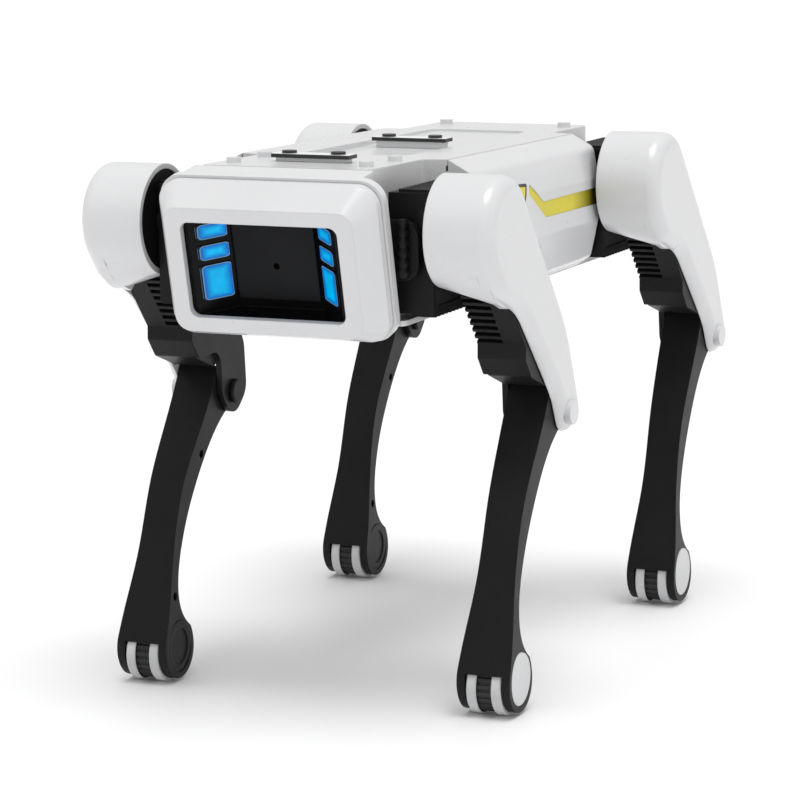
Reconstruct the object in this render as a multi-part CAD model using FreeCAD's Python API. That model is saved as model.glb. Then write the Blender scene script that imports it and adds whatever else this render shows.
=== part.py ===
import FreeCAD, Part
import math
import os

# Quadruped robot dog. The dog faces -Y, its left side is +X, +Z is up, millimetres.
# The origin is on the ground under the middle of the bounding box.

V = FreeCAD.Vector

# Leg layout, before the whole is shifted so that its middle lies at the origin
CENTRE_SHIFT = -0.1
FRONT_HIP_Y = -99.9
REAR_HIP_Y = 66.7
HIP_Z = 163.0
THIGH_LENGTH = 87.5
SHIN_LENGTH = 94.4
FRONT_SHIN_LEAN = -27.9
REAR_SHIN_LEAN = -24.4
WHEEL_R = 10.0
WHEEL_DROP = 2.4
AXLE_LENGTH = SHIN_LENGTH + WHEEL_DROP
ROLL_AXIS_X = 40.0
ROLL_AXIS_Z = 157.0

# Stack of one leg across X
DRUM_IN = 50.7
DRUM_OUT = 74.3
DRUM_R = 18.7
SHELL_T = 1.8
PLATE_IN = 53.0
PLATE_OUT = 55.1
SHIN_IN = 55.5
SHIN_OUT = 70.0
BLADE_IN = 70.5
KNEE_BOSS_OUT = 75.6
KNEE_PIN_R = 3.0
RUN_GAP = 0.05
FOOT_IN = 54.3
FOOT_OUT = 72.5

# Body
BODY_HALF = 48.5
SEAM_HALF = 38.0
PANEL_FRONT_Y = -65.5
PANEL_REAR_Y = 57.4
NECK_HALF = 30.0
NECK_FRONT_Y = -113.5
TAIL_Y = 100.0
FLOOR_Z = 132.0
DECK_FRONT_Z = 183.2
DECK_REAR_Z = 180.6
SKIN = 2.2

# Head: a box that leans forward by HEAD_LEAN
HEAD_LEAN = 13.5
FACE_Y = -131.3
FACE_Z = 150.5
OPENING_HALF = 27.8
OPENING_UP = 16.45
RING_HALF = 33.5
RING_UP = 21.4
BROW_HALF = 38.8
BROW_UP = 26.6
HEAD_HALF = 39.8

# Top deck studs and accessory plates
STUD_R = 2.45
STUD_H = 1.7
STUD_X = 24.0
FRONT_STUDS_Y = (-101.4, -77.4)
REAR_STUD_Y = 87.4

LEFT = 1
RIGHT = -1
X_AXIS = V(1, 0, 0)
Y_AXIS = V(0, 1, 0)
Z_AXIS = V(0, 0, 1)


# Outlines and solids

def rounded(corners, place):
    """Closed wire through corners (a, b, radius), with an arc at each rounded corner."""
    count = len(corners)
    edges = []
    ends = []
    for i in range(count):
        before = V(corners[i - 1][0], corners[i - 1][1], 0)
        here = V(corners[i][0], corners[i][1], 0)
        after = V(corners[(i + 1) % count][0], corners[(i + 1) % count][1], 0)
        radius = corners[i][2]
        to_before = (before - here).normalize()
        to_after = (after - here).normalize()
        if radius == 0:
            ends.append((here, None, here))
            continue
        half = to_before.getAngle(to_after) / 2
        reach = radius / math.tan(half)
        middle = here + (to_before + to_after).normalize() * (radius / math.sin(half) - radius)
        ends.append((here + to_before * reach, middle, here + to_after * reach))
    for i in range(count):
        start, middle, stop = ends[i]
        if middle is not None:
            arc = Part.Arc(place(start.x, start.y), place(middle.x, middle.y), place(stop.x, stop.y))
            edges.append(arc.toShape())
        following = ends[(i + 1) % count][0]
        if (following - stop).Length > 1e-6:
            edges.append(Part.LineSegment(place(stop.x, stop.y), place(following.x, following.y)).toShape())
    return Part.Wire(edges)


def side_slab(corners, x0, x1):
    """Outline in (Y, Z), extruded from x0 to x1."""
    wire = rounded(corners, lambda y, z: V(x0, y, z))
    return Part.Face(wire).extrude(V(x1 - x0, 0, 0))


def front_slab(corners, y0, y1):
    """Outline in (X, Z), extruded from y0 to y1."""
    wire = rounded(corners, lambda x, z: V(x, y0, z))
    return Part.Face(wire).extrude(V(0, y1 - y0, 0))


def top_slab(corners, z0, z1):
    """Outline in (X, Y), extruded from z0 to z1."""
    wire = rounded(corners, lambda x, y: V(x, y, z0))
    return Part.Face(wire).extrude(V(0, 0, z1 - z0))


def box(x0, x1, y0, y1, z0, z1):
    return Part.makeBox(x1 - x0, y1 - y0, z1 - z0, V(x0, y0, z0))


def rod_x(radius, x0, x1, y=0.0, z=0.0):
    return Part.makeCylinder(radius, x1 - x0, V(x0, y, z), X_AXIS)


def rod_y(radius, y0, y1, x, z):
    return Part.makeCylinder(radius, y1 - y0, V(x, y0, z), Y_AXIS)


def rod_z(radius, z0, z1, x, y):
    return Part.makeCylinder(radius, z1 - z0, V(x, y, z0), Z_AXIS)


def rectangle(half_a, low_b, high_b, radius):
    return [(-half_a, low_b, radius), (half_a, low_b, radius),
            (half_a, high_b, radius), (-half_a, high_b, radius)]


def mirrored(shape):
    return shape.mirror(V(0, 0, 0), X_AXIS)


def both_sides(shape):
    return Part.makeCompound([shape, mirrored(shape)])


def save(name, shape):
    solids = [solid for solid in shape.Solids if solid.Volume > 0.5]
    whole = solids[0] if len(solids) == 1 else Part.makeCompound(solids)
    whole.translate(V(0, CENTRE_SHIFT, 0))
    whole.exportStep("parts/" + name + ".step")
    box_ = whole.BoundBox
    print(name, len(solids), "solids", round(whole.Volume), "mm3", whole.isValid(),
          [round(v, 1) for v in (box_.XMin, box_.XMax, box_.YMin, box_.YMax, box_.ZMin, box_.ZMax)])
    return whole


# Trunk: one cross-section, a little lower at the tail

def deck_z(y):
    """Height of the top deck at y."""
    share = (y - NECK_FRONT_Y) / (TAIL_Y - NECK_FRONT_Y)
    return DECK_FRONT_Z + share * (DECK_REAR_Z - DECK_FRONT_Z)


def trunk_section(y, inset):
    top = deck_z(y) - inset
    half = BODY_HALF - inset
    low = FLOOR_Z + inset
    corners = [(SEAM_HALF, top, 3.0), (half - 2.0, top - 4.6, 4.0), (half, top - 16.0, 4.0),
               (half, 150.0, 4.0), (half - 3.0, low + 4.0, 3.0), (half - 9.0, low, 3.0)]
    left = [(-a, b, r) for a, b, r in reversed(corners)]
    return rounded(corners + left, lambda x, z: V(x, y, z))


def trunk(y0, y1, inset):
    return Part.makeLoft([trunk_section(y0, inset), trunk_section(y1, inset)], True, True)


STRIPE = [(-13.8, 169.5, 0), (-1.0, 162.2, 0), (PANEL_REAR_Y + 1, 161.7, 0), (PANEL_REAR_Y + 1, 155.6, 0),
          (1.5, 156.4, 0), (-15.5, 166.3, 0)]
BADGE = [(-35.0, 171.2, 0.8), (-16.0, 170.0, 0.8), (-20.6, 160.6, 0.8)]
STRIPE_DEPTH = 0.9
PANEL_SCREW = (-3.0, 145.0)
BAY_WALL_T = 1.8
BAY_WALL_TOP = 178.6
BEAM_HALF = 24.0


def side_panel():
    """Left side panel with its bay walls, the stripe and badge recesses and a screw hole."""
    shell = trunk(PANEL_FRONT_Y, PANEL_REAR_Y, 0).cut(trunk(PANEL_FRONT_Y - 1, PANEL_REAR_Y + 1, SKIN))
    panel = shell.common(box(SEAM_HALF + 0.15, 60, -80, 80, FLOOR_Z + 2.0, 190))
    for y in (PANEL_FRONT_Y, PANEL_REAR_Y - 4.0):
        under_deck = box(BEAM_HALF + 0.2, SEAM_HALF + 0.3, -80, 80, FLOOR_Z + SKIN + 0.1, BAY_WALL_TOP)
        beside_deck = box(SEAM_HALF + 0.15, 60, -80, 80, FLOOR_Z + SKIN + 0.1, 190)
        panel = panel.fuse(trunk(y, y + BAY_WALL_T, 0.5).common(under_deck.fuse(beside_deck)))
    recess = BODY_HALF - STRIPE_DEPTH
    panel = panel.cut(side_slab(STRIPE, recess, 60))
    panel = panel.cut(side_slab(BADGE, recess, 60))
    return panel.cut(rod_x(1.6, 40, 60, *PANEL_SCREW)).removeSplitter()


def stripe_inlay():
    inner = BODY_HALF - STRIPE_DEPTH
    limits = trunk(PANEL_FRONT_Y, PANEL_REAR_Y, 0.35)
    return side_slab(STRIPE, inner, BODY_HALF).common(limits).common(box(40, 60, -80, PANEL_REAR_Y, 150, 175))


def badge_inlay():
    inner = BODY_HALF - STRIPE_DEPTH
    return side_slab(BADGE, inner, BODY_HALF - 0.15).common(trunk(PANEL_FRONT_Y, PANEL_REAR_Y, 0.1))


def side_inlays():
    """Stripe and badge of both sides."""
    return Part.makeCompound([both_sides(stripe_inlay()), both_sides(badge_inlay())])


def deck_plan():
    """Plan outline of the deck: neck, wide middle and tail, with concave bays for the hips."""
    right = [(NECK_HALF, NECK_FRONT_Y, 2.0), (NECK_HALF, PANEL_FRONT_Y - 3.0, 2.0),
             (SEAM_HALF, PANEL_FRONT_Y, 1.0), (SEAM_HALF, PANEL_REAR_Y, 1.0),
             (NECK_HALF, PANEL_REAR_Y + 1.8, 2.0), (NECK_HALF, TAIL_Y, 6.0)]
    left = [(-a, b, r) for a, b, r in reversed(right)]
    return right + left


DECK_WALL_Z = 168.0
TAIL_COVER_TOP = 173.6
RECESS_HALF = 19.0
RECESS_DEPTH = 0.8
RECESS_Y = (-58.0, 62.0)
PLATE_SPOTS = (-93.7, -8.7)
PLATE_HALF = 14.2
PLATE_DEPTH = 7.6
PLATE_T = 1.3
PLATE_LOWS = (184.3, 182.7)
FOOT_INSET = 1.4
TAB_X = 8.9
TAB_R = 2.5
TAB_H = 0.9


def deck_shell():
    top_wedge = side_slab([(NECK_FRONT_Y, DECK_FRONT_Z, 0), (TAIL_Y, DECK_REAR_Z, 0),
                           (TAIL_Y, DECK_WALL_Z, 0), (NECK_FRONT_Y, DECK_WALL_Z, 0)], -60, 60)
    under = side_slab([(NECK_FRONT_Y - 1, DECK_FRONT_Z - SKIN, 0), (TAIL_Y + 1, DECK_REAR_Z - SKIN, 0),
                       (TAIL_Y + 1, DECK_WALL_Z - 1, 0), (NECK_FRONT_Y - 1, DECK_WALL_Z - 1, 0)], -60, 60)
    deck = top_slab(deck_plan(), DECK_WALL_Z, 190).common(top_wedge)
    neck = box(-NECK_HALF + 2, NECK_HALF - 2, NECK_FRONT_Y - 1, TAIL_Y - 2, 160, 190)
    middle = box(-60, 60, PANEL_FRONT_Y - 0.1, PANEL_REAR_Y + 0.1, 160, 190)
    deck = deck.cut(under.common(neck.fuse(middle)))
    deck = deck.cut(box(-60, 60, TAIL_Y - 2.5, TAIL_Y + 1, DECK_WALL_Z - 1, TAIL_COVER_TOP + 0.4))
    low_z = min(deck_z(RECESS_Y[0]), deck_z(RECESS_Y[1])) - RECESS_DEPTH
    deck = deck.cut(top_slab(rectangle(RECESS_HALF, RECESS_Y[0], RECESS_Y[1], 6.0), low_z, 190))
    for x in (-STUD_X, STUD_X):
        for y in FRONT_STUDS_Y + (REAR_STUD_Y,):
            base = deck_z(y)
            deck = deck.fuse(rod_z(STUD_R, base - 1.5, base + STUD_H, x, y))
    return deck.removeSplitter()


def accessory_plates():
    """Two flat bars on short feet, each with two small round tabs."""
    plates = []
    recess_floor = deck_z(RECESS_Y[1]) - RECESS_DEPTH
    for y, base, low in ((PLATE_SPOTS[0], deck_z(PLATE_SPOTS[0]), PLATE_LOWS[0]),
                         (PLATE_SPOTS[1], recess_floor, PLATE_LOWS[1])):
        plate = top_slab([(-PLATE_HALF, y, 0.6), (PLATE_HALF, y, 0.6), (PLATE_HALF, y + PLATE_DEPTH, 0.6),
                          (-PLATE_HALF, y + PLATE_DEPTH, 0.6)], low, low + PLATE_T)
        foot_half = PLATE_HALF - FOOT_INSET
        foot = box(-foot_half, foot_half, y + FOOT_INSET, y + PLATE_DEPTH - FOOT_INSET, base + 0.02, low + 0.1)
        plate = plate.fuse(foot)
        for x in (-TAB_X, TAB_X):
            plate = plate.fuse(rod_z(TAB_R, low + PLATE_T - 0.3, low + PLATE_T + TAB_H, x, y + PLATE_DEPTH / 2))
        plates.append(plate.removeSplitter())
    return Part.makeCompound(plates)


BELLY_WALL_Z = 140.0
LEDGE_HALF = 40.0
LEDGE_T = 1.8


def belly_shell():
    """Bottom cover: a shallow tray with walls along neck and tail, and a ledge under the hip blocks."""
    plan = deck_plan()
    outer = top_slab(plan, FLOOR_Z, BELLY_WALL_Z)
    wide = trunk(PANEL_FRONT_Y, PANEL_REAR_Y, 0).common(box(-60, 60, -80, 80, 120, FLOOR_Z + 1.9))
    neck = box(-NECK_HALF + 2, NECK_HALF - 2, NECK_FRONT_Y + 2, TAIL_Y - 2, FLOOR_Z + SKIN, 150)
    middle = box(-60, 60, PANEL_FRONT_Y - 3.5, PANEL_REAR_Y + 3.5, FLOOR_Z + SKIN, 150)
    shell = outer.cut(neck.fuse(middle)).fuse(wide)
    ledge = top_slab(rectangle(LEDGE_HALF, NECK_FRONT_Y + 2.0, TAIL_Y - 1.0, 6.0), FLOOR_Z, FLOOR_Z + LEDGE_T)
    return shell.fuse(ledge).cut(head_room()).removeSplitter()


# Inner frame

EAR_T = 3.4
HIP_BLOCK_FRONT = -7.0
HIP_BLOCK_REAR = 30.0
EAR_GAP = 0.4
EAR_OUT = 46.0


def hip_ears(hip_y):
    """Two ears that carry one hip block's roll axle, on the left side."""
    ears = []
    for y0 in (hip_y + HIP_BLOCK_FRONT - EAR_GAP - EAR_T, hip_y + HIP_BLOCK_REAR + EAR_GAP):
        outline = [(BEAM_HALF - 2, 147.0, 0), (EAR_OUT, 147.0, 6.0), (EAR_OUT, 167.0, 6.0),
                   (BEAM_HALF - 2, 167.0, 0)]
        ear = front_slab(outline, y0, y0 + EAR_T)
        ears.append(ear.cut(rod_y(KNEE_PIN_R + RUN_GAP, y0 - 1, y0 + EAR_T + 1, ROLL_AXIS_X, ROLL_AXIS_Z)))
    return ears


def chassis():
    frame = box(-BEAM_HALF, BEAM_HALF, -111.2, TAIL_Y - 2.2, 140.5, 143.5)
    for x in (-BEAM_HALF, BEAM_HALF - 2.5):
        frame = frame.fuse(box(x, x + 2.5, -111.2, TAIL_Y - 2.2, 140.5, 172.0))
    for y in (-111.2, -60.0, 50.0, TAIL_Y - 5.2):
        frame = frame.fuse(box(-BEAM_HALF, BEAM_HALF, y, y + 3.0, 140.5, 172.0))
    for hip_y in (FRONT_HIP_Y, REAR_HIP_Y):
        for ear in hip_ears(hip_y):
            frame = frame.fuse(ear).fuse(mirrored(ear))
    frame = frame.cut(rod_y(2.6, TAIL_Y - 9, TAIL_Y, BUTTON_X, BUTTON_Z)).cut(head_room())
    return frame.removeSplitter()


def battery_pack():
    return top_slab(rectangle(17.0, -30.0, 40.0, 3.0), 143.9, 164.0)


def control_board():
    board = box(-20, 20, -54.0, 46.0, 168.0, 169.6)
    parts = [board]
    for x, y, size in ((-8, -20, 12), (9, -28, 8), (6, 10, 14), (-12, 22, 9)):
        parts.append(box(x - size / 2, x + size / 2, y - size / 2, y + size / 2, 169.6, 171.8))
    whole = parts[0]
    for chip in parts[1:]:
        whole = whole.fuse(chip)
    return whole.removeSplitter()


def roll_servos():
    """Four small gear motors inside the beam that swing the hip blocks sideways."""
    motors = []
    for y in (-104.0, -84.0, 56.0, 71.0):
        motors.append(box(-20.5, 20.5, y, y + 12.0, 144.0, 166.0))
    return Part.makeCompound(motors)


def speaker():
    cone = rod_y(9.0, 88.0, 94.3, 0, 157.0)
    return cone.cut(Part.makeCone(3.0, 8.0, 3.0, V(0, 91.3, 157.0), Y_AXIS))


# Head

def head_place(shape):
    """Lean a shape made upright about the face centre, and put it in place."""
    leaned = shape.copy()
    leaned.rotate(V(0, 0, 0), X_AXIS, HEAD_LEAN)
    leaned.translate(V(0, FACE_Y, FACE_Z))
    return leaned


def head_room():
    """Space in front of the head's leaning back, kept clear by the body."""
    return head_place(box(-60, 60, -40, HEAD_BACK + 0.15, -60, 60))


def frame_wire(half, up, radius, w, centre=0.0):
    corners = rectangle(half, centre - up, centre + up, radius)
    return rounded(corners, lambda x, z: V(x, w, z))


BROW_CENTRE = 0.9
BROW_W = 9.0
BEZEL_BACK = 12.0
HEAD_BACK = 17.6


def head_bezel():
    """Front ring and its wide chamfer, with the face opening."""
    ring = frame_wire(RING_HALF, RING_UP, 5.0, 0.0)
    brow = frame_wire(BROW_HALF, BROW_UP, 7.5, BROW_W, BROW_CENTRE)
    back = frame_wire(BROW_HALF, BROW_UP, 7.5, BEZEL_BACK, BROW_CENTRE)
    outer = Part.makeLoft([ring, brow], True, True).fuse(Part.makeLoft([brow, back], True, True))
    opening = Part.Face(frame_wire(OPENING_HALF, OPENING_UP, 3.0, -1.0)).extrude(V(0, 20, 0))
    room = Part.Face(frame_wire(31.0, 19.0, 3.0, 2.4)).extrude(V(0, 20, 0))
    return head_place(outer.cut(opening).cut(room).removeSplitter())


def head_shell():
    """Rear half of the head, closed at its back, with the brow that meets the deck."""
    front = frame_wire(HEAD_HALF, BROW_UP + 0.9, 8.0, BEZEL_BACK + 0.3, BROW_CENTRE)
    middle = frame_wire(HEAD_HALF, BROW_UP + 0.9, 8.0, HEAD_BACK - 2.0, BROW_CENTRE)
    back = frame_wire(HEAD_HALF - 2.0, BROW_UP - 1.0, 7.0, HEAD_BACK, BROW_CENTRE)
    outer = Part.makeLoft([front, middle], True, True).fuse(Part.makeLoft([middle, back], True, True))
    inner_wire = frame_wire(HEAD_HALF - 2.4, BROW_UP - 1.6, 6.0, 0.0, BROW_CENTRE)
    hollow = Part.Face(inner_wire).extrude(V(0, HEAD_BACK - 2.4, 0))
    shell = head_place(outer.cut(hollow))
    brow = side_slab([(-123.5, 176.0, 0), (-123.0, 181.6, 0), (NECK_FRONT_Y - 0.3, DECK_FRONT_Z - 0.1, 0),
                      (NECK_FRONT_Y - 0.3, 176.0, 0)], -32.0, 32.0)
    return shell.fuse(brow).removeSplitter()


CAVITY_BACK = 12.0
CAVITY_HALF = 15.2
TRAY_HALF = 29.6
PINHOLE_UP = -1.6
TRAY_UP = 18.2


def face_cavity(up):
    """Hollow of the face: it narrows towards the back, so its side walls slant."""
    front = 0.5
    corners = [(-OPENING_HALF - 0.3, front, 0), (OPENING_HALF + 0.3, front, 0), (CAVITY_HALF, CAVITY_BACK, 0),
               (-CAVITY_HALF, CAVITY_BACK, 0)]
    return top_slab(corners, -up, up)


def face_tray():
    outer = Part.Face(frame_wire(TRAY_HALF, TRAY_UP, 3.0, 2.6)).extrude(V(0, 12.0, 0))
    tray = outer.cut(face_cavity(OPENING_UP + 0.2))
    for sign in (LEFT, RIGHT):
        for low, high in LED_ROWS:
            tray = tray.cut(led_prism(sign, low, high, 2.0, 0.12))
    return head_place(tray.cut(rod_y(1.2, 10, 16, 0, PINHOLE_UP)))


LED_ROWS = ((8.7, 13.9), (1.5, 6.7), (-12.2, -0.2))
LED_FROM = 0.29
LED_TO = 0.90
LED_T = 1.3
LED_PROUD = 0.35


def led_prism(side, low, high, proud, spread=0.0):
    """One light window set in a slanted side wall: proud of the wall, and let into it."""
    start = V(OPENING_HALF + 0.3, 0.5, 0)
    stop = V(CAVITY_HALF, CAVITY_BACK, 0)
    along = (stop - start).normalize()
    inward = V(-along.y, along.x, 0) * (-1 if along.y < 0 else 1)
    length = (stop - start).Length
    near = start + along * (length * LED_FROM - spread)
    far = start + along * (length * LED_TO + spread)
    over = inward * proud
    under = inward * (LED_PROUD - LED_T - spread)
    corners = [(side * p.x, p.y, 0) for p in (near + over, far + over, far + under, near + under)]
    return top_slab(corners, low - spread, high + spread)


def led_windows():
    windows = []
    for sign in (LEFT, RIGHT):
        for low, high in LED_ROWS:
            windows.append(head_place(led_prism(sign, low, high, LED_PROUD)))
    return Part.makeCompound(windows)


def sensor_panel():
    """Centre panel at the back of the face, with a pinhole for the sensor."""
    wire = frame_wire(CAVITY_HALF - 0.7, OPENING_UP - 1.8, 0.6, CAVITY_BACK - 1.2, 1.4)
    panel = Part.Face(wire).extrude(V(0, 1.1, 0))
    return head_place(panel.cut(rod_y(1.1, 5, 20, 0, PINHOLE_UP)))


# Controls at the tail

BUTTON_R = 4.0
BUTTON_Z = 163.0
BUTTON_X = 12.0
SOCKET_X = -12.0


def tail_cover():
    """Rear end cover with the button hole, the charging socket hole and speaker slots."""
    outline = rectangle(NECK_HALF - 0.6, BELLY_WALL_Z + 0.4, TAIL_COVER_TOP, 4.0)
    cover = front_slab(outline, TAIL_Y - 2.0, TAIL_Y)
    for side in (LEFT, RIGHT):
        inner = side * (BEAM_HALF - 2.4)
        outer = side * (NECK_HALF + 1)
        cover = cover.cut(box(min(inner, outer), max(inner, outer), TAIL_Y - 3, TAIL_Y + 1, 146.6, 167.4))
    cover = cover.cut(rod_y(BUTTON_R + 0.3, TAIL_Y - 3, TAIL_Y + 1, BUTTON_X, BUTTON_Z))
    inlet = box(SOCKET_X - 4.7, SOCKET_X + 4.7, TAIL_Y - 3, TAIL_Y + 1, BUTTON_Z - 2.0, BUTTON_Z + 2.0)
    cover = cover.cut(inlet)
    for i in range(4):
        z = 144.5 + 3.0 * i
        cover = cover.cut(box(-9, 9, TAIL_Y - 3, TAIL_Y + 1, z, z + 1.4))
    return cover


def power_button():
    button = rod_y(BUTTON_R, TAIL_Y - 0.8, TAIL_Y + 1.2, BUTTON_X, BUTTON_Z)
    return button.fuse(rod_y(2.0, TAIL_Y - 6.0, TAIL_Y - 0.5, BUTTON_X, BUTTON_Z)).removeSplitter()


def charge_socket():
    z = BUTTON_Z
    body = box(SOCKET_X - 4.5, SOCKET_X + 4.5, TAIL_Y - 2.15, TAIL_Y - 0.3, z - 1.7, z + 1.7)
    slot = box(SOCKET_X - 3.8, SOCKET_X + 3.8, TAIL_Y - 1.5, TAIL_Y + 1, z - 1.1, z + 1.1)
    tongue = box(SOCKET_X - 3.0, SOCKET_X + 3.0, TAIL_Y - 1.6, TAIL_Y - 0.6, z - 0.35, z + 0.35)
    return body.cut(slot).fuse(tongue).removeSplitter()


def body_screws():
    """Screws in the side panels and the belly."""
    y, z = PANEL_SCREW
    reach = BODY_HALF - 3.4
    side = rod_x(1.55, reach, BODY_HALF - 1.2, y, z)
    belly = []
    for x in (-18.0, 18.0):
        for spot in (-100.0, 86.0):
            belly.append(rod_z(2.0, FLOOR_Z - 1.0, FLOOR_Z - 0.02, x, spot))
    return Part.makeCompound([side, mirrored(side)] + belly)


# Hip block: everything that swings sideways with the roll axle

HIP_IN = 34.0
HIP_OUT = 49.6
HIP_LOW = 136.0
HIP_TOP = 175.6


def hip_bracket(hip_y):
    """Toothed top and bottom plates, a back wall and the two roll trunnions."""
    y0 = hip_y + HIP_BLOCK_FRONT
    y1 = hip_y + HIP_BLOCK_REAR
    bracket = box(HIP_IN, HIP_IN + 2.0, y0, y1, HIP_LOW, HIP_TOP)
    for z in (HIP_LOW, HIP_TOP - 2.4):
        bracket = bracket.fuse(box(HIP_IN, HIP_OUT, y0, y1, z, z + 2.4))
    for y in (y0, y1 - 2.6):
        bracket = bracket.fuse(box(HIP_IN, HIP_OUT, y, y + 2.6, HIP_LOW, HIP_TOP))
    for i in range(11):
        y = y0 + 1.5 + 3.2 * i
        bracket = bracket.fuse(box(HIP_IN + 3.0, HIP_OUT, y, y + 1.6, HIP_TOP - 0.5, HIP_TOP + 1.0))
        bracket = bracket.fuse(box(HIP_OUT - 6.0, HIP_OUT, y, y + 1.6, HIP_LOW - 1.0, HIP_LOW + 0.5))
    reach = EAR_GAP + EAR_T
    bracket = bracket.fuse(rod_y(KNEE_PIN_R, y0 - reach, y0 + 1.0, ROLL_AXIS_X, ROLL_AXIS_Z))
    bracket = bracket.fuse(rod_y(KNEE_PIN_R, y1 - 1.0, y1 + reach, ROLL_AXIS_X, ROLL_AXIS_Z))
    return bracket.removeSplitter()


HIP_SHAFT_R = 5.0


def hip_servo(hip_y):
    """Gear motor case inside the bracket, with its output shaft along X."""
    y0 = hip_y + HIP_BLOCK_FRONT + 2.6
    y1 = hip_y + HIP_BLOCK_REAR - 2.6
    case = box(HIP_IN + 2.0, HIP_OUT - 0.6, y0, y1, HIP_LOW + 2.4, HIP_TOP - 2.4)
    case = case.fuse(rod_x(HIP_SHAFT_R, HIP_OUT - 1.0, DRUM_IN + 7.0, hip_y, HIP_Z))
    return case.removeSplitter()


# Thigh, made with its hip at the origin and its knee straight below

COVER_OUTLINE = [(DRUM_R, -DRUM_R, DRUM_R), (DRUM_R, 11.5, 14.0), (8.0, 30.0, 30.0), (3.6, 76.0, 30.0),
                 (7.8, 96.3, 8.0), (-9.6, 96.3, 8.0), (-DRUM_R, 64.0, 60.0), (-DRUM_R, -DRUM_R, DRUM_R)]


def cover_wire(x):
    """Side outline of the thigh cover: the drum above, tapering to a round knee end."""
    return rounded(COVER_OUTLINE, lambda u, v: V(x, -u, -v))


SKIRT_SHIFT = 8.2
EDGE_ROUND = 5.0


def circle_wire(radius, x, y, z):
    return Part.Wire(Part.makeCircle(radius, V(x, y, z), X_AXIS))


def skirt(radius, x0, x1):
    """Drum whose lower side grows towards the outside."""
    slope = SKIRT_SHIFT / (BLADE_IN - DRUM_IN)
    low0 = slope * (x0 - DRUM_IN)
    low1 = slope * (x1 - DRUM_IN)
    return Part.makeLoft([circle_wire(radius, x0, 0, -low0), circle_wire(radius, x1, 0, -low1)], True, True)


def thigh_cover():
    face_from = DRUM_OUT - EDGE_ROUND - 2.0
    blade = Part.Face(cover_wire(face_from)).extrude(V(DRUM_OUT - face_from, 0, 0))
    rim = [edge for edge in blade.Edges if edge.BoundBox.XMin > DRUM_OUT - 0.01]
    blade = blade.makeFillet(EDGE_ROUND, rim)
    blade = blade.cut(box(face_from - 1, BLADE_IN, -30, 30, -THIGH_LENGTH - 20, -24))
    outer = blade.fuse(rod_x(DRUM_R, DRUM_IN, face_from + 0.5)).fuse(skirt(DRUM_R, DRUM_IN, BLADE_IN))
    cover = outer.cut(rod_x(DRUM_R - SHELL_T, DRUM_IN - 1, BLADE_IN))
    cover = cover.cut(skirt(DRUM_R - SHELL_T - 0.2, DRUM_IN - 2, BLADE_IN - 0.3))
    way_out = box(DRUM_IN - 1, BLADE_IN, -9.0, 16.0, -60, -4)
    cover = cover.cut(way_out)
    cover = cover.fuse(rod_x(4.3, DRUM_OUT - 1.0, KNEE_BOSS_OUT, 0, -THIGH_LENGTH))
    return cover.cut(rod_x(KNEE_PIN_R + 0.01, BLADE_IN - 1, 73.6, 0, -THIGH_LENGTH)).removeSplitter()


FRAME_TOP = -14.5


def thigh_frame():
    """Inner frame: the drum's inner disc, a ribbed beam, and a plate down to the knee."""
    disc = rod_x(DRUM_R - SHELL_T - 0.15, DRUM_IN + 0.5, PLATE_OUT)
    beam = side_slab([(-8.6, FRAME_TOP, 0), (-8.0, -46.0, 0), (-11.0, -49.5, 1.0), (-11.0, -58.0, 2.0),
                      (-3.0, -71.5, 1.0), (7.0, -73.0, 2.0), (13.0, -66.0, 3.0), (15.0, -52.0, 3.0),
                      (15.5, FRAME_TOP, 0)],
                     PLATE_OUT - 0.5, BLADE_IN - 0.3)
    plate = side_slab([(-8.6, FRAME_TOP, 0), (-8.0, -46.0, 0), (-11.0, -49.5, 1.0), (-11.0, -58.0, 2.0),
                       (2.2, -68.5, 6.0), (-7.4, -82.0, 6.0), (-7.4, -95.0, 7.3), (7.4, -95.0, 7.3),
                       (17.6, -80.0, 8.0), (17.0, -58.0, 8.0), (15.5, FRAME_TOP, 0)], PLATE_IN, PLATE_OUT)
    frame = beam.fuse(plate)
    motor_room = box(PLATE_OUT + 0.8, BLADE_IN - 2.0, -4.5, 11.5, -57.0, FRAME_TOP - 3.0)
    frame = frame.cut(motor_room)
    for i in range(8):
        z = -20.0 - 3.3 * i
        frame = frame.cut(box(PLATE_IN - 0.1, 62.5, -9.5, -5.4, z - 1.9, z))
    frame = frame.fuse(disc)
    frame = frame.cut(rod_x(HIP_SHAFT_R + RUN_GAP, DRUM_IN, PLATE_OUT + 1))
    frame = frame.cut(rod_x(KNEE_PIN_R + 0.01, PLATE_IN - 1, PLATE_OUT + 1, 0, -THIGH_LENGTH))
    return frame.cut(rod_x(1.2, PLATE_IN - 1, PLATE_OUT + 0.6, 9.5, -66.5)).removeSplitter()


def knee_servo():
    """Gear motor inside the thigh beam that drives the knee."""
    return box(PLATE_OUT + 1.0, BLADE_IN - 2.2, -4.3, 11.3, -56.8, FRAME_TOP - 3.2)


def knee_pin():
    pin = rod_x(KNEE_PIN_R, PLATE_IN - 1.0, 73.4, 0, -THIGH_LENGTH)
    head = rod_x(4.3, PLATE_IN - 1.8, PLATE_IN, 0, -THIGH_LENGTH)
    return pin.fuse(head.makeChamfer(0.5, [head.Edges[0], head.Edges[2]])).removeSplitter()


# Shin, made with its knee at the origin and its foot axle straight below

SHIN_FRONT = ((12.4, 2.0), (14.2, 17.0), (17.0, 40.0), (14.6, 63.0), (12.4, 82.0), (11.2, SHIN_LENGTH))
SHIN_BACK = ((-6.0, SHIN_LENGTH - 9.46), (4.6, 80.0), (8.8, 62.0), (7.6, 36.0), (1.5, 12.0), (-7.9, 0.0))


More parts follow.
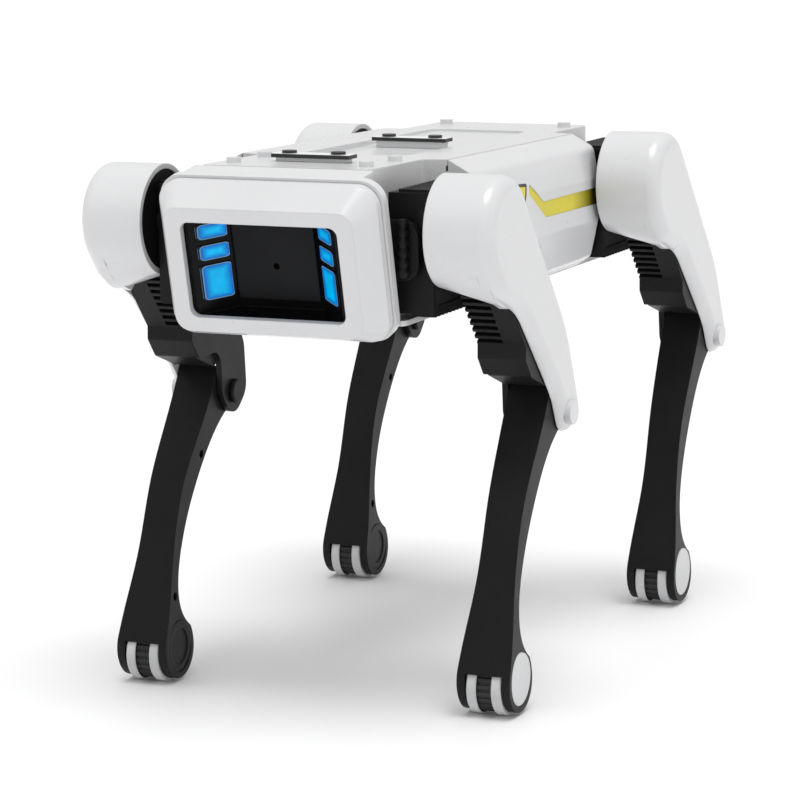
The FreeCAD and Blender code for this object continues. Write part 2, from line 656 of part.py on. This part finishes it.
def shin_outline(x):
    """Side outline: a head round the knee, a forward bow and a round foot."""
    front = Part.BSplineCurve()
    front.interpolate([V(x, -u, -v) for u, v in SHIN_FRONT])
    back = Part.BSplineCurve()
    back.interpolate([V(x, -u, -v) for u, v in SHIN_BACK])
    heel = -SHIN_LENGTH
    sole = Part.Arc(V(x, -11.2, heel), V(x, 5.0, heel - 10.02), V(x, 6.0, heel + 9.46))
    crown = Part.Arc(V(x, 7.9, 0.0), V(x, 2.0, 7.64), V(x, -5.5, 5.7))
    brow = Part.LineSegment(V(x, -5.5, 5.7), V(x, -12.0, 5.0))
    nose = Part.LineSegment(V(x, -12.0, 5.0), V(x, -12.4, -2.0))
    edges = [front, sole, back, crown, brow, nose]
    return Part.Wire([edge.toShape() for edge in edges])


SHIN_OUTER_EDGE = ((SHIN_OUT, 9.0), (SHIN_OUT, -14.0), (69.7, -48.0), (70.4, -68.0), (72.0, -84.0),
                   (FOOT_OUT, -108.0))
SHIN_INNER_EDGE = ((FOOT_IN, -108.0), (54.8, -84.0), (56.3, -68.0), (56.9, -50.0), (SHIN_IN, -14.0),
                   (SHIN_IN, 9.0))


def width_prism():
    """Front outline of the shin, extruded: wide at the knee and foot, slim in the middle."""
    outer = Part.BSplineCurve()
    outer.interpolate([V(x, -40, z) for x, z in SHIN_OUTER_EDGE])
    inner = Part.BSplineCurve()
    inner.interpolate([V(x, -40, z) for x, z in SHIN_INNER_EDGE])
    low = Part.LineSegment(V(FOOT_OUT, -40, -108.0), V(FOOT_IN, -40, -108.0))
    high = Part.LineSegment(V(SHIN_IN, -40, 9.0), V(SHIN_OUT, -40, 9.0))
    wire = Part.Wire([edge.toShape() for edge in (outer, low, inner, high)])
    return Part.Face(wire).extrude(V(0, 80, 0))


FOOT_MIDDLE = (FOOT_IN + FOOT_OUT) / 2
SLOT_HALF = 6.55
SLOT_R = WHEEL_R + 0.4
HUB_HALF = 2.6
HUB_R = WHEEL_R - 0.9
HUB_RIBS = 24
AXLE_R = 2.5
CAP_R = 9.0
CAP_DEPTH = 0.9


def shin():
    body = Part.Face(shin_outline(FOOT_IN - 3)).extrude(V(FOOT_OUT - FOOT_IN + 6, 0, 0))
    body = body.common(width_prism())
    x0 = FOOT_MIDDLE - SLOT_HALF
    x1 = FOOT_MIDDLE + SLOT_HALF
    body = body.cut(rod_x(SLOT_R, x0, x1, 0, -AXLE_LENGTH))
    body = body.cut(box(x0, x1, -20, 20, -AXLE_LENGTH - 20, -AXLE_LENGTH))
    body = body.cut(rod_x(AXLE_R + 0.01, 40, 90, 0, -AXLE_LENGTH))
    body = body.cut(rod_x(CAP_R + 0.1, FOOT_OUT - CAP_DEPTH, 90, 0, -SHIN_LENGTH))
    body = body.cut(rod_x(CAP_R + 0.1, 40, FOOT_IN + CAP_DEPTH, 0, -SHIN_LENGTH))
    body = body.cut(rod_x(KNEE_PIN_R + RUN_GAP, 40, 90))
    for u, v, depth in ((9.3, 27.0, 3.0), (8.9, 79.0, 3.0)):
        body = body.cut(rod_x(1.5, 40, SHIN_IN + depth, -u, -v))
    return body.removeSplitter()


def foot_wheels():
    """Two narrow wheels and the ribbed hub between them, in one piece that turns on the axle."""
    wheels = rod_x(HUB_R, FOOT_MIDDLE - HUB_HALF - 0.5, FOOT_MIDDLE + HUB_HALF + 0.5, 0, -AXLE_LENGTH)
    for i in range(HUB_RIBS):
        angle = 2 * math.pi * i / HUB_RIBS
        y = HUB_R * math.cos(angle)
        z = HUB_R * math.sin(angle) - AXLE_LENGTH
        wheels = wheels.cut(rod_x(0.5, FOOT_MIDDLE - HUB_HALF, FOOT_MIDDLE + HUB_HALF, y, z))
    width = SLOT_HALF - HUB_HALF - 0.4
    for x in (FOOT_MIDDLE - HUB_HALF - width, FOOT_MIDDLE + HUB_HALF):
        tyre = rod_x(WHEEL_R, x, x + width, 0, -AXLE_LENGTH)
        wheels = wheels.fuse(tyre.makeChamfer(0.4, [edge for edge in tyre.Edges if edge.Closed]))
    return wheels.cut(rod_x(AXLE_R + RUN_GAP, 40, 90, 0, -AXLE_LENGTH)).removeSplitter()


def foot_axle():
    """Axle with a dished head on the inner side."""
    axle = rod_x(AXLE_R, FOOT_IN + 0.5, FOOT_OUT - CAP_DEPTH - 0.05, 0, -AXLE_LENGTH)
    head = rod_x(CAP_R, FOOT_IN, FOOT_IN + CAP_DEPTH - 0.05, 0, -SHIN_LENGTH)
    dish = rod_x(6.5, FOOT_IN - 1, FOOT_IN + 0.4, 0, -SHIN_LENGTH)
    return axle.fuse(head.cut(dish)).removeSplitter()


def foot_cap():
    cap = rod_x(CAP_R, FOOT_OUT - CAP_DEPTH, FOOT_OUT + 0.3, 0, -SHIN_LENGTH)
    return cap.makeFillet(0.4, [edge for edge in cap.Edges if edge.BoundBox.XMin > FOOT_OUT])


def hip_lean(shin_lean):
    """Thigh lean that brings the wheel to the ground with the hip at its height."""
    rise = HIP_Z - WHEEL_R - AXLE_LENGTH * math.cos(math.radians(shin_lean))
    return math.degrees(math.acos(rise / THIGH_LENGTH))


def swing(shape, y, z, lean):
    placed = shape.copy()
    placed.rotate(V(0, 0, 0), X_AXIS, lean)
    placed.translate(V(0, y, z))
    return placed


def build_legs():
    thigh_parts = {"thigh_cover": thigh_cover(), "thigh_frame": thigh_frame(), "knee_servo": knee_servo(),
                   "knee_pin": knee_pin()}
    shin_parts = {"shin": shin(), "foot_wheels": foot_wheels(), "foot_axle": foot_axle(), "foot_cap": foot_cap()}
    for end, hip_y, shin_lean in (("front", FRONT_HIP_Y, FRONT_SHIN_LEAN), ("rear", REAR_HIP_Y, REAR_SHIN_LEAN)):
        lean = hip_lean(shin_lean)
        knee_y = hip_y + THIGH_LENGTH * math.sin(math.radians(lean))
        knee_z = HIP_Z - THIGH_LENGTH * math.cos(math.radians(lean))
        foot_y = knee_y + AXLE_LENGTH * math.sin(math.radians(shin_lean))
        print(end, "lean", round(lean, 3), "knee", knee_y + CENTRE_SHIFT, knee_z, "axle", foot_y + CENTRE_SHIFT)
        leg = {"hip_bracket": hip_bracket(hip_y), "hip_servo": hip_servo(hip_y)}
        for name, shape in thigh_parts.items():
            leg[name] = swing(shape, hip_y, HIP_Z, lean)
        for name, shape in shin_parts.items():
            leg[name] = swing(shape, knee_y, knee_z, shin_lean)
        for name, shape in leg.items():
            save(name + "_" + end + "_left", shape)
            save(name + "_" + end + "_right", mirrored(shape))


def build_body():
    panel = side_panel()
    save("side_panel_left", panel)
    save("side_panel_right", mirrored(panel))
    save("accent_stripes", side_inlays())
    save("deck_shell", deck_shell())
    save("accessory_plates", accessory_plates())
    save("belly_shell", belly_shell())
    save("chassis", chassis())
    save("battery_pack", battery_pack())
    save("control_board", control_board())
    save("roll_servos", roll_servos())
    save("speaker", speaker())
    save("head_bezel", head_bezel())
    save("head_shell", head_shell())
    save("face_tray", face_tray())
    save("led_windows", led_windows())
    save("sensor_panel", sensor_panel())
    save("tail_cover", tail_cover())
    save("power_button", power_button())
    save("charge_socket", charge_socket())
    save("body_screws", body_screws())


os.makedirs("parts", exist_ok=True)
build_body()
build_legs()
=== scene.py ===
import bpy
import math
from mathutils import Matrix, Vector


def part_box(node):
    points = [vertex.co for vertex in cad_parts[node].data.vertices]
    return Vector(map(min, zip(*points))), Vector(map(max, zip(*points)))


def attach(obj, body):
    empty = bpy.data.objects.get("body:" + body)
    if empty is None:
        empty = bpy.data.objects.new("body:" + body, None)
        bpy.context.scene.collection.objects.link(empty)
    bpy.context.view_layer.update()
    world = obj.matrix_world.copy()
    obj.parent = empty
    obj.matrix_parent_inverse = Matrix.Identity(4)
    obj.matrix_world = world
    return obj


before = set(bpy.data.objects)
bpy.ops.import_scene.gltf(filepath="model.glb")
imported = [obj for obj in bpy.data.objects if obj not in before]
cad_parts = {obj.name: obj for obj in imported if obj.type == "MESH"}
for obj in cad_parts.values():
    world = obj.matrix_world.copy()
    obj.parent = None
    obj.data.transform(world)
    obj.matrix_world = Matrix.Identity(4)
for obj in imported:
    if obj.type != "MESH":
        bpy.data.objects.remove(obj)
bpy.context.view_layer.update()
LEGS = ("front_left", "front_right", "rear_left", "rear_right")
MM = 0.001


# Materials -----------------------------------------------------------------

NOISE_ROUGHNESS = 0.55
GLOSS_SCALE = 60.0
GRAIN_DEPTH = 0.1 * MM
COAT_ROUGHNESS = 0.12


class Graph:
    """Small helper that builds a node material."""

    def __init__(self, name):
        self.material = bpy.data.materials.new(name)
        self.material.use_nodes = True
        self.nodes = self.material.node_tree.nodes
        self.links = self.material.node_tree.links
        self.shader = self.nodes["Principled BSDF"]

    def add(self, kind, **values):
        node = self.nodes.new(kind)
        for key, value in values.items():
            setattr(node, key, value)
        return node

    def join(self, source, target):
        self.links.new(source, target)

    def place(self):
        return self.add("ShaderNodeTexCoord").outputs["Object"]

    def axes(self):
        split = self.add("ShaderNodeSeparateXYZ")
        self.join(self.place(), split.inputs[0])
        return split.outputs

    def noise(self, scale, detail=4.0):
        node = self.add("ShaderNodeTexNoise")
        node.inputs["Scale"].default_value = scale
        node.inputs["Detail"].default_value = detail
        node.inputs["Roughness"].default_value = NOISE_ROUGHNESS
        self.join(self.place(), node.inputs["Vector"])
        return node.outputs["Fac"]

    def span(self, value, low, high, to_low, to_high):
        node = self.add("ShaderNodeMapRange")
        self.join(value, node.inputs["Value"])
        node.inputs["From Min"].default_value = low
        node.inputs["From Max"].default_value = high
        node.inputs["To Min"].default_value = to_low
        node.inputs["To Max"].default_value = to_high
        return node.outputs["Result"]

    def tone(self, scale, detail):
        """Soft patches from 0 to 1, for mixing two close tones."""
        return self.span(self.noise(scale, detail), 0.35, 0.65, 0.0, 1.0)

    def math(self, operation, a, b=0.0):
        node = self.add("ShaderNodeMath", operation=operation)
        for socket, value in zip(node.inputs, (a, b)):
            if isinstance(value, (int, float)):
                socket.default_value = value
            else:
                self.join(value, socket)
        return node.outputs[0]

    def length(self, a, b):
        return self.math("SQRT", self.math("ADD", self.math("POWER", a, 2.0), self.math("POWER", b, 2.0)))

    def mix(self, factor, first, second):
        node = self.add("ShaderNodeMix", data_type="RGBA")
        for socket, value in ((node.inputs[0], factor), (node.inputs[6], first), (node.inputs[7], second)):
            if isinstance(value, tuple):
                socket.default_value = (*value, 1.0)
            elif isinstance(value, float):
                socket.default_value = value
            else:
                self.join(value, socket)
        return node.outputs[2]

    def finish_surface(self, rough_low, rough_high, grain, grain_scale, bevel):
        """Uneven gloss, fine grain and softened edges."""
        rough = self.span(self.noise(GLOSS_SCALE, 6.0), 0.3, 0.7, rough_low, rough_high)
        self.join(rough, self.shader.inputs["Roughness"])
        edge = self.add("ShaderNodeBevel", samples=6)
        edge.inputs["Radius"].default_value = bevel
        bump = self.add("ShaderNodeBump")
        bump.inputs["Strength"].default_value = grain
        bump.inputs["Distance"].default_value = GRAIN_DEPTH
        self.join(self.noise(grain_scale, 3.0), bump.inputs["Height"])
        self.join(edge.outputs[0], bump.inputs["Normal"])
        self.join(bump.outputs[0], self.shader.inputs["Normal"])


def shaded(name, dark, light, rough, grain=0.15, grain_scale=2600.0, bevel=0.0005, coat=0.0, metal=0.0,
           shine=0.5):
    """Moulded plastic or metal: two close tones, uneven gloss, grain and soft edges."""
    graph = Graph(name)
    tone = graph.tone(35.0, 5.0)
    graph.join(graph.mix(tone, dark, light), graph.shader.inputs["Base Color"])
    graph.finish_surface(rough[0], rough[1], grain, grain_scale, bevel)
    graph.shader.inputs["Coat Weight"].default_value = coat
    graph.shader.inputs["Coat Roughness"].default_value = COAT_ROUGHNESS
    graph.shader.inputs["Metallic"].default_value = metal
    graph.shader.inputs["Specular IOR Level"].default_value = shine
    return graph.material


WHITE = shaded("white_shell", (0.665, 0.668, 0.675), (0.68, 0.683, 0.69), (0.27, 0.31), 0.02, coat=0.3,
               bevel=0.0006)
WHITE_SATIN = shaded("white_satin", (0.62, 0.625, 0.63), (0.65, 0.655, 0.66), (0.36, 0.42), 0.03)
BLACK = shaded("black_satin", (0.0065, 0.0067, 0.0074), (0.009, 0.0092, 0.010), (0.38, 0.46), 0.12, 2200.0,
               shine=0.16)
BLACK_GLOSS = shaded("black_gloss", (0.003, 0.003, 0.0034), (0.005, 0.005, 0.0056), (0.2, 0.26), 0.03,
                     shine=0.11)
MOTOR = shaded("motor_grey", (0.013, 0.0135, 0.015), (0.019, 0.0195, 0.021), (0.38, 0.5), 0.15, shine=0.22)
PANEL_GREY = shaded("panel_grey", (0.006, 0.0063, 0.0072), (0.009, 0.0094, 0.0105), (0.36, 0.44), 0.06,
                    shine=0.12)
STEEL = shaded("dark_steel", (0.05, 0.052, 0.056), (0.09, 0.092, 0.096), (0.25, 0.4), 0.2, metal=0.9,
               bevel=0.0003)
BATTERY = shaded("battery_blue", (0.02, 0.05, 0.14), (0.03, 0.07, 0.18), (0.3, 0.4), 0.1)
BOARD = shaded("board_green", (0.006, 0.06, 0.025), (0.01, 0.09, 0.04), (0.3, 0.42), 0.15)
BUTTON = shaded("button_grey", (0.16, 0.165, 0.17), (0.21, 0.215, 0.22), (0.4, 0.5), 0.15)


BADGE_CORNERS = ((-0.0351, 0.1712), (-0.0161, 0.1700), (-0.0207, 0.1606))
BADGE_REAR_Y = -0.0158
BADGE_RIM = 1.1 * MM
STRIPE_FADE = (0.030, 0.056)


def inlay_material():
    """Yellow stripe that darkens at its rear end, and a yellow badge with a black rim."""
    graph = Graph("yellow_inlay")
    y = graph.axes()[1]
    z = graph.axes()[2]
    rear = graph.span(y, *STRIPE_FADE, 0.0, 1.0)
    tone = graph.tone(50.0, 4.0)
    yellow = graph.mix(tone, (0.66, 0.56, 0.016), (0.72, 0.62, 0.022))
    stripe = graph.mix(rear, yellow, (0.03, 0.025, 0.004))
    depth = None
    for i in range(3):
        ay, az = BADGE_CORNERS[i]
        by, bz = BADGE_CORNERS[(i + 1) % 3]
        cy, cz = BADGE_CORNERS[(i + 2) % 3]
        length = math.hypot(by - ay, bz - az)
        ny, nz = -(bz - az) / length, (by - ay) / length
        if ny * (cy - ay) + nz * (cz - az) < 0:
            ny, nz = -ny, -nz
        side = graph.math("ADD", graph.math("MULTIPLY", y, ny), graph.math("MULTIPLY", z, nz))
        side = graph.math("SUBTRACT", side, ny * ay + nz * az)
        depth = side if depth is None else graph.math("MINIMUM", depth, side)
    rim = graph.math("LESS_THAN", depth, BADGE_RIM)
    badge = graph.mix(rim, yellow, (0.006, 0.006, 0.006))
    in_badge = graph.math("LESS_THAN", y, BADGE_REAR_Y)
    graph.join(graph.mix(in_badge, stripe, badge), graph.shader.inputs["Base Color"])
    graph.finish_surface(0.3, 0.42, 0.08, 2600.0, 0.0002)
    return graph.material


HEAD_LEAN = math.radians(13.5)
FACE_Y = -0.1314
FACE_Z = 0.1505
LIGHT_ROWS = ((0.0087, 0.0139), (0.0015, 0.0067), (-0.0122, -0.0002))
LIGHT_DEPTHS = (0.003835, 0.01085)
LIGHT_CORNER = 1.3 * MM
LIGHT_GLOW = (0.4 * MM, 2.2 * MM)
LIGHT_RIM = (0.2 * MM, 0.4 * MM)
LIGHT_FRINGE = 0.12 * MM


def light_material():
    """Lit lens with round corners: a pale outline, deep blue near it and azure in the middle."""
    graph = Graph("cyan_light")
    axes = graph.axes()
    y = graph.math("SUBTRACT", axes[1], FACE_Y)
    z = graph.math("SUBTRACT", axes[2], FACE_Z)
    up = graph.math("SUBTRACT", graph.math("MULTIPLY", z, math.cos(HEAD_LEAN)),
                    graph.math("MULTIPLY", y, math.sin(HEAD_LEAN)))
    depth = graph.math("ADD", graph.math("MULTIPLY", y, math.cos(HEAD_LEAN)),
                       graph.math("MULTIPLY", z, math.sin(HEAD_LEAN)))
    inside = None
    for low, high in LIGHT_ROWS:
        row = graph.math("MINIMUM", graph.math("SUBTRACT", up, low), graph.math("SUBTRACT", high, up))
        inside = row if inside is None else graph.math("MAXIMUM", inside, row)
    across = graph.math("MINIMUM", graph.math("SUBTRACT", depth, LIGHT_DEPTHS[0]),
                        graph.math("SUBTRACT", LIGHT_DEPTHS[1], depth))
    missing_in = graph.math("MAXIMUM", graph.math("SUBTRACT", LIGHT_CORNER, inside), 0.0)
    missing_across = graph.math("MAXIMUM", graph.math("SUBTRACT", LIGHT_CORNER, across), 0.0)
    missing = graph.length(missing_in, missing_across)
    edge = graph.math("SUBTRACT", LIGHT_CORNER, missing)
    glow = graph.span(graph.math("MINIMUM", inside, across), *LIGHT_GLOW, 0.0, 1.0)
    rim = graph.span(edge, *LIGHT_RIM, 1.0, 0.0)
    colour = graph.mix(glow, (0.0, 0.12, 0.52), (0.0, 0.45, 0.86))
    colour = graph.mix(rim, colour, (0.16, 0.30, 0.42))
    lit = graph.span(edge, 0.0, LIGHT_FRINGE, 0.0, 1.0)
    colour = graph.mix(lit, (0.004, 0.004, 0.005), colour)
    wave = graph.span(graph.noise(220.0, 2.0), 0.3, 0.7, 0.85, 1.1)
    graph.join(colour, graph.shader.inputs["Emission Color"])
    graph.shader.inputs["Base Color"].default_value = (0.0, 0.004, 0.012, 1.0)
    graph.join(wave, graph.shader.inputs["Emission Strength"])
    graph.shader.inputs["Roughness"].default_value = 0.25
    graph.shader.inputs["Specular IOR Level"].default_value = 0.2
    return graph.material


WHEEL_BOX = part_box("foot_wheels_front_left")
WHEEL_MIDDLE = (WHEEL_BOX[0][0] + WHEEL_BOX[1][0]) / 2
HUB_HALF = 0.0026


def roller_material():
    """Grey tyres on both sides of a black ribbed hub."""
    graph = Graph("grey_roller")
    across = graph.math("ABSOLUTE", graph.axes()[0])
    across = graph.math("ABSOLUTE", graph.math("SUBTRACT", across, WHEEL_MIDDLE))
    tone = graph.tone(90.0, 5.0)
    tyre = graph.mix(tone, (0.50, 0.505, 0.51), (0.60, 0.605, 0.61))
    hub = graph.math("LESS_THAN", across, HUB_HALF + 0.00005)
    graph.join(graph.mix(hub, tyre, (0.008, 0.008, 0.009)), graph.shader.inputs["Base Color"])
    graph.finish_surface(0.45, 0.6, 0.3, 1800.0, 0.0003)
    return graph.material


PLATE_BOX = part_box("accessory_plates")
TAB_X = 8.9 * MM
TAB_R = 2.55 * MM
PLATE_DEPTH = 7.6 * MM
TAB_AND_PLATE = 2.2 * MM
REAR_DROP = 1.6 * MM
FOOT_TOPS = (PLATE_BOX[1][2] - TAB_AND_PLATE, PLATE_BOX[1][2] - TAB_AND_PLATE - REAR_DROP)
PLATE_FRONTS = (PLATE_BOX[0][1], PLATE_BOX[1][1] - PLATE_DEPTH)
BETWEEN_PLATES_Y = -0.05


def plate_material():
    """Black bars with a painted reflection of the bright sky on their upper faces, black round tabs, on
    white feet.
    """
    graph = Graph("deck_plate")
    top = graph.add("ShaderNodeSeparateXYZ")
    graph.join(graph.add("ShaderNodeNewGeometry").outputs["True Normal"], top.inputs[0])
    # Upward faces of the black bars: painted sky reflection, coloured near-white.
    sky_reflection_top = graph.math("GREATER_THAN", top.outputs[2], 0.9)
    axes = graph.axes()
    from_axis = graph.math("SUBTRACT", graph.math("ABSOLUTE", axes[0]), TAB_X)
    span = None
    for low in PLATE_FRONTS:
        offset = graph.math("ABSOLUTE", graph.math("SUBTRACT", axes[1], low + PLATE_DEPTH / 2))
        span = offset if span is None else graph.math("MINIMUM", span, offset)
    reach = graph.length(from_axis, span)
    off_tab = graph.math("GREATER_THAN", reach, TAB_R)
    front_foot = graph.math("LESS_THAN", axes[2], FOOT_TOPS[0])
    rear_foot = graph.math("LESS_THAN", axes[2], FOOT_TOPS[1])
    at_rear = graph.math("GREATER_THAN", axes[1], BETWEEN_PLATES_Y)
    foot = graph.math("ADD", graph.math("MULTIPLY", rear_foot, at_rear),
                      graph.math("MULTIPLY", front_foot, graph.math("SUBTRACT", 1.0, at_rear)))
    # Near-white mask: painted sky reflection on the bar tops away from the tabs, plus the real white feet.
    white = graph.math("MAXIMUM", graph.math("MULTIPLY", sky_reflection_top, off_tab), foot)
    tone = graph.tone(80.0, 4.0)
    black = graph.mix(tone, (0.007, 0.007, 0.008), (0.014, 0.014, 0.015))
    graph.join(graph.mix(white, black, (0.78, 0.785, 0.79)), graph.shader.inputs["Base Color"])
    graph.finish_surface(0.35, 0.5, 0.15, 2400.0, 0.0002)
    return graph.material


PLATE = plate_material()
ROLLER = roller_material()
INLAY = inlay_material()
LIGHT = light_material()

FINISH = {"side_panel_left": WHITE, "side_panel_right": WHITE, "deck_shell": WHITE, "belly_shell": WHITE,
          "head_bezel": WHITE, "head_shell": WHITE, "accent_stripes": INLAY, "accessory_plates": PLATE,
          "chassis": BLACK, "face_tray": BLACK_GLOSS, "tail_cover": BLACK, "battery_pack": BATTERY,
          "control_board": BOARD, "roll_servos": MOTOR, "speaker": MOTOR, "sensor_panel": PANEL_GREY,
          "power_button": BUTTON, "charge_socket": STEEL, "body_screws": STEEL, "led_windows": LIGHT}
LEG_FINISH = {"hip_bracket": BLACK, "hip_servo": MOTOR, "thigh_cover": WHITE, "thigh_frame": BLACK,
              "knee_servo": MOTOR, "knee_pin": BLACK, "shin": BLACK, "foot_wheels": ROLLER,
              "foot_axle": BLACK, "foot_cap": WHITE_SATIN}


def dress():
    """Gives every CAD node its material."""
    finish = dict(FINISH)
    for leg in LEGS:
        for stem, material in LEG_FINISH.items():
            finish[stem + "_" + leg] = material
    for name, material in finish.items():
        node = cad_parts[name]
        node.data.materials.clear()
        node.data.materials.append(material)


dress()


# Pieces --------------------------------------------------------------------

def mesh_piece(name, points, faces, material, body):
    """Makes a smooth mesh that rides on a body and carries the given material."""
    mesh = bpy.data.meshes.new(name)
    mesh.from_pydata([tuple(p) for p in points], [], faces)
    mesh.update()
    piece = bpy.data.objects.new(name, mesh)
    bpy.context.scene.collection.objects.link(piece)
    mesh.materials.append(material)
    for face in mesh.polygons:
        face.use_smooth = True
    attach(piece, body)
    return piece


LATHE_STEPS = 48


def lathe(name, profile, origin, axis, material, body):
    """Turns (distance along axis, radius) pairs round the axis."""
    steps = LATHE_STEPS
    axis = Vector(axis).normalized()
    side = axis.orthogonal().normalized()
    up = axis.cross(side)
    points = []
    faces = []
    for along, radius in profile:
        for i in range(steps):
            angle = 2 * math.pi * i / steps
            spoke = side * math.cos(angle) + up * math.sin(angle)
            points.append(Vector(origin) + axis * along + spoke * radius)
    for row in range(len(profile) - 1):
        for i in range(steps):
            j = (i + 1) % steps
            here = row * steps
            beyond = here + steps
            faces.append((here + i, here + j, beyond + j, beyond + i))
    return mesh_piece(name, points, faces, material, body)


BELLOWS_RIBS = 6
RIB_STEPS = 8
BELLOWS_PITCH = 3.2 * MM
BELLOWS_R = 2.0 * MM
BELLOWS_WAIST = 0.72
BELLOWS_SET_BACK = 0.75
BELLOWS_X = 41.2 * MM
BELLOWS_LOW_Z = 148.5 * MM


def bellows():
    """Ribbed sleeves that cover the motor leads in front of each hip block."""
    for leg in LEGS:
        side = 1 if leg.endswith("left") else -1
        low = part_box("hip_bracket_" + leg)[0]
        profile = [(0.0, 0.0)]
        for i in range(BELLOWS_RIBS * RIB_STEPS + 1):
            swell = 0.5 - 0.5 * math.cos(2 * math.pi * i / RIB_STEPS)
            radius = BELLOWS_R * (BELLOWS_WAIST + (1 - BELLOWS_WAIST) * swell)
            profile.append((i * BELLOWS_PITCH / RIB_STEPS, radius))
        profile.append((BELLOWS_RIBS * BELLOWS_PITCH, 0.0))
        place = (side * BELLOWS_X, low[1] - BELLOWS_R * BELLOWS_SET_BACK, BELLOWS_LOW_Z)
        lathe("bellows_" + leg, profile, place, (0, 0, 1), BLACK, "root")


bellows()


# Floor, light and camera -----------------------------------------------------

FLOOR_SIZE = 60.0
FLOOR_DROP = 0.2 * MM
WORLD_STRENGTH = 0.72
SUN_STRENGTH = 1.6
SUN_ANGLE = math.radians(35.0)
SUN_PLACE = (0.12, -0.10, 1.0)
AREA_LAMPS = (("key", (-0.45, -0.7, 0.9), 0.5, 0.3), ("side", (1.0, -0.1, 0.35), 0.4, 0.15))
LAMP_TARGET = (0, 0, 0.1)
CAMERA_PLACE = (0.44458, -1.07295, 0.28510)
CAMERA_AZIMUTH = math.radians(22.85)
CAMERA_ELEVATION = math.radians(9.62)
CAMERA_ROLL = math.radians(-0.44)
CAMERA_LENS = 146.2
CAMERA_SENSOR = 36.0


def stage():
    """Pale floor, even white sky, a soft sun and two weak area lamps."""
    bpy.ops.mesh.primitive_plane_add(size=FLOOR_SIZE, location=(0, 0, -FLOOR_DROP))
    floor = bpy.context.object
    floor.name = "floor"
    graph = Graph("floor_pale")
    tone = graph.span(graph.noise(3.0, 2.0), 0.3, 0.7, 0.0, 1.0)
    graph.join(graph.mix(tone, (0.90, 0.90, 0.905), (0.92, 0.92, 0.925)), graph.shader.inputs["Base Color"])
    graph.shader.inputs["Roughness"].default_value = 0.6
    floor.data.materials.append(graph.material)
    world = bpy.data.worlds.new("studio")
    world.use_nodes = True
    world.node_tree.nodes["Background"].inputs[0].default_value = (1.0, 1.0, 1.0, 1.0)
    world.node_tree.nodes["Background"].inputs[1].default_value = WORLD_STRENGTH
    bpy.context.scene.world = world
    bpy.context.scene.view_settings.view_transform = "Standard"
    sun = bpy.data.lights.new("sun", "SUN")
    sun.energy = SUN_STRENGTH
    sun.angle = SUN_ANGLE
    place_lamp("sun", sun, Vector(SUN_PLACE))
    for name, place, size, power in AREA_LAMPS:
        data = bpy.data.lights.new(name, "AREA")
        data.energy = power
        data.size = size
        place_lamp(name, data, Vector(place))


def place_lamp(name, data, place):
    """Puts a lamp at a place and aims it at the middle of the object."""
    lamp = bpy.data.objects.new(name, data)
    bpy.context.scene.collection.objects.link(lamp)
    lamp.location = place
    lamp.rotation_euler = (Vector(LAMP_TARGET) - place).to_track_quat("-Z", "Y").to_euler()


def camera():
    """View from the front, a little to the dog's left and above."""
    level = math.cos(CAMERA_ELEVATION)
    back = Vector((math.sin(CAMERA_AZIMUTH) * level, -math.cos(CAMERA_AZIMUTH) * level,
                   math.sin(CAMERA_ELEVATION)))
    flat_right = (-back).cross(Vector((0, 0, 1))).normalized()
    flat_up = back.cross(flat_right)
    right = flat_right * math.cos(CAMERA_ROLL) + flat_up * math.sin(CAMERA_ROLL)
    up = flat_up * math.cos(CAMERA_ROLL) - flat_right * math.sin(CAMERA_ROLL)
    data = bpy.data.cameras.new("view")
    data.sensor_width = CAMERA_SENSOR
    data.lens = CAMERA_LENS
    view = bpy.data.objects.new("view", data)
    bpy.context.scene.collection.objects.link(view)
    turn = Matrix((right, up, back)).transposed()
    view.matrix_world = Matrix.Translation(Vector(CAMERA_PLACE)) @ turn.to_4x4()
    bpy.context.scene.camera = view


stage()
camera()
